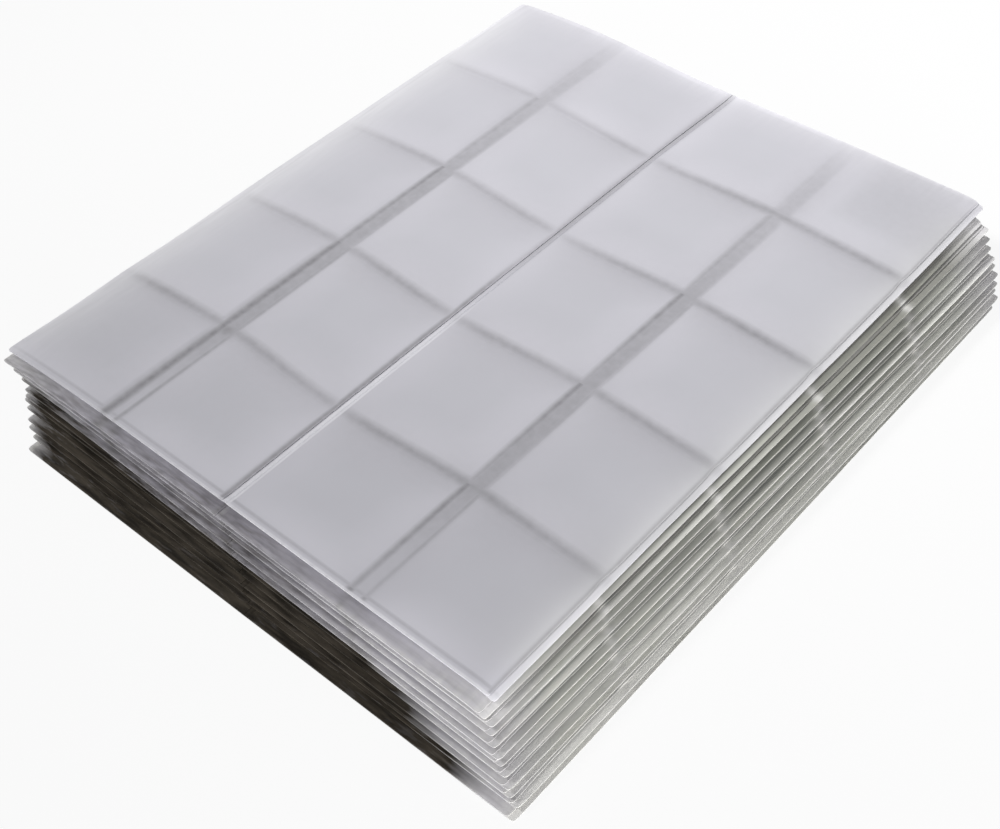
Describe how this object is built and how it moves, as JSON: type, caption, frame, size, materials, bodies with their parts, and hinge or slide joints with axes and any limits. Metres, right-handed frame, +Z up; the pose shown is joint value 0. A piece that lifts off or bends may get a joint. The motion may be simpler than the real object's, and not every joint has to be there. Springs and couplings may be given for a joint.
{
  "type": "stack of uncut coin flip sheets",
  "caption": "Leaning pile of uncut clear vinyl coin flip sheets: flat back films with welded pocket films; each sheet lifts off and the top one folds along two bands.",
  "frame": {"origin": "middle of the face that the bottom sheet rests on", "axes": "+X across the four pockets of a sheet, +Y along its five rows, +Z up through the pile"},
  "size_m": [0.2216, 0.2664, 0.0299],
  "materials": {
    "back_film": "clear frosted vinyl film",
    "pocket_film": "clear frosted vinyl film"
  },
  "bodies": {
    "sheet_01": {"sheet_01_back_film": "back_film", "sheet_01_left_pocket_film": "pocket_film", "sheet_01_right_pocket_film": "pocket_film"},
    "sheet_02": {"sheet_02_back_film": "back_film", "sheet_02_left_pocket_film": "pocket_film", "sheet_02_right_pocket_film": "pocket_film"},
    "sheet_03": {"sheet_03_back_film": "back_film", "sheet_03_left_pocket_film": "pocket_film", "sheet_03_right_pocket_film": "pocket_film"},
    "sheet_04": {"sheet_04_back_film": "back_film", "sheet_04_left_pocket_film": "pocket_film", "sheet_04_right_pocket_film": "pocket_film"},
    "sheet_05": {"sheet_05_back_film": "back_film", "sheet_05_left_pocket_film": "pocket_film", "sheet_05_right_pocket_film": "pocket_film"},
    "sheet_06": {"sheet_06_back_film": "back_film", "sheet_06_left_pocket_film": "pocket_film", "sheet_06_right_pocket_film": "pocket_film"},
    "sheet_07": {"sheet_07_back_film": "back_film", "sheet_07_left_pocket_film": "pocket_film", "sheet_07_right_pocket_film": "pocket_film"},
    "sheet_08": {"sheet_08_back_film": "back_film", "sheet_08_left_pocket_film": "pocket_film", "sheet_08_right_pocket_film": "pocket_film"},
    "sheet_09": {"sheet_09_back_film": "back_film", "sheet_09_left_pocket_film": "pocket_film", "sheet_09_right_pocket_film": "pocket_film"},
    "sheet_10": {"sheet_10_back_film": "back_film", "sheet_10_left_pocket_film": "pocket_film", "sheet_10_right_pocket_film": "pocket_film"},
    "sheet_11": {"sheet_11_back_film": "back_film", "sheet_11_left_pocket_film": "pocket_film", "sheet_11_right_pocket_film": "pocket_film"},
    "top_sheet_middle": {"top_sheet_middle_back_film": "back_film", "top_sheet_left_inner_pocket_film": "pocket_film", "top_sheet_right_inner_pocket_film": "pocket_film"},
    "top_sheet_left_panel": {"top_sheet_left_back_film": "back_film", "top_sheet_left_outer_pocket_film": "pocket_film"},
    "top_sheet_right_panel": {"top_sheet_right_back_film": "back_film", "top_sheet_right_outer_pocket_film": "pocket_film"}
  },
  "joints": [
    {"name": "lift_sheet_02", "type": "slide", "parent": "sheet_01", "child": "sheet_02", "axis": [0, 0, 1], "range_m": [0, 0.025]},
    {"name": "lift_sheet_03", "type": "slide", "parent": "sheet_02", "child": "sheet_03", "axis": [0, 0, 1], "range_m": [0, 0.025]},
    {"name": "lift_sheet_04", "type": "slide", "parent": "sheet_03", "child": "sheet_04", "axis": [0, 0, 1], "range_m": [0, 0.025]},
    {"name": "lift_sheet_05", "type": "slide", "parent": "sheet_04", "child": "sheet_05", "axis": [0, 0, 1], "range_m": [0, 0.025]},
    {"name": "lift_sheet_06", "type": "slide", "parent": "sheet_05", "child": "sheet_06", "axis": [0, 0, 1], "range_m": [0, 0.025]},
    {"name": "lift_sheet_07", "type": "slide", "parent": "sheet_06", "child": "sheet_07", "axis": [0, 0, 1], "range_m": [0, 0.025]},
    {"name": "lift_sheet_08", "type": "slide", "parent": "sheet_07", "child": "sheet_08", "axis": [0, 0, 1], "range_m": [0, 0.025]},
    {"name": "lift_sheet_09", "type": "slide", "parent": "sheet_08", "child": "sheet_09", "axis": [0, 0, 1], "range_m": [0, 0.025]},
    {"name": "lift_sheet_10", "type": "slide", "parent": "sheet_09", "child": "sheet_10", "axis": [0, 0, 1], "range_m": [0, 0.025]},
    {"name": "lift_sheet_11", "type": "slide", "parent": "sheet_10", "child": "sheet_11", "axis": [0, 0, 1], "range_m": [0, 0.025]},
    {"name": "lift_top_sheet", "type": "slide", "parent": "sheet_11", "child": "top_sheet_middle", "axis": [0, 0, 1], "range_m": [0, 0.025]},
    {"name": "fold_left_panel", "type": "hinge", "parent": "top_sheet_middle", "child": "top_sheet_left_panel", "pos_m": [-0.0686, 0.0124, 0.0301], "axis": [0, 1, 0], "range_deg": [0, 180]},
    {"name": "fold_right_panel", "type": "hinge", "parent": "top_sheet_middle", "child": "top_sheet_right_panel", "pos_m": [0.0354, 0.0124, 0.0301], "axis": [0, -1, 0], "range_deg": [0, 180]}
  ]
}
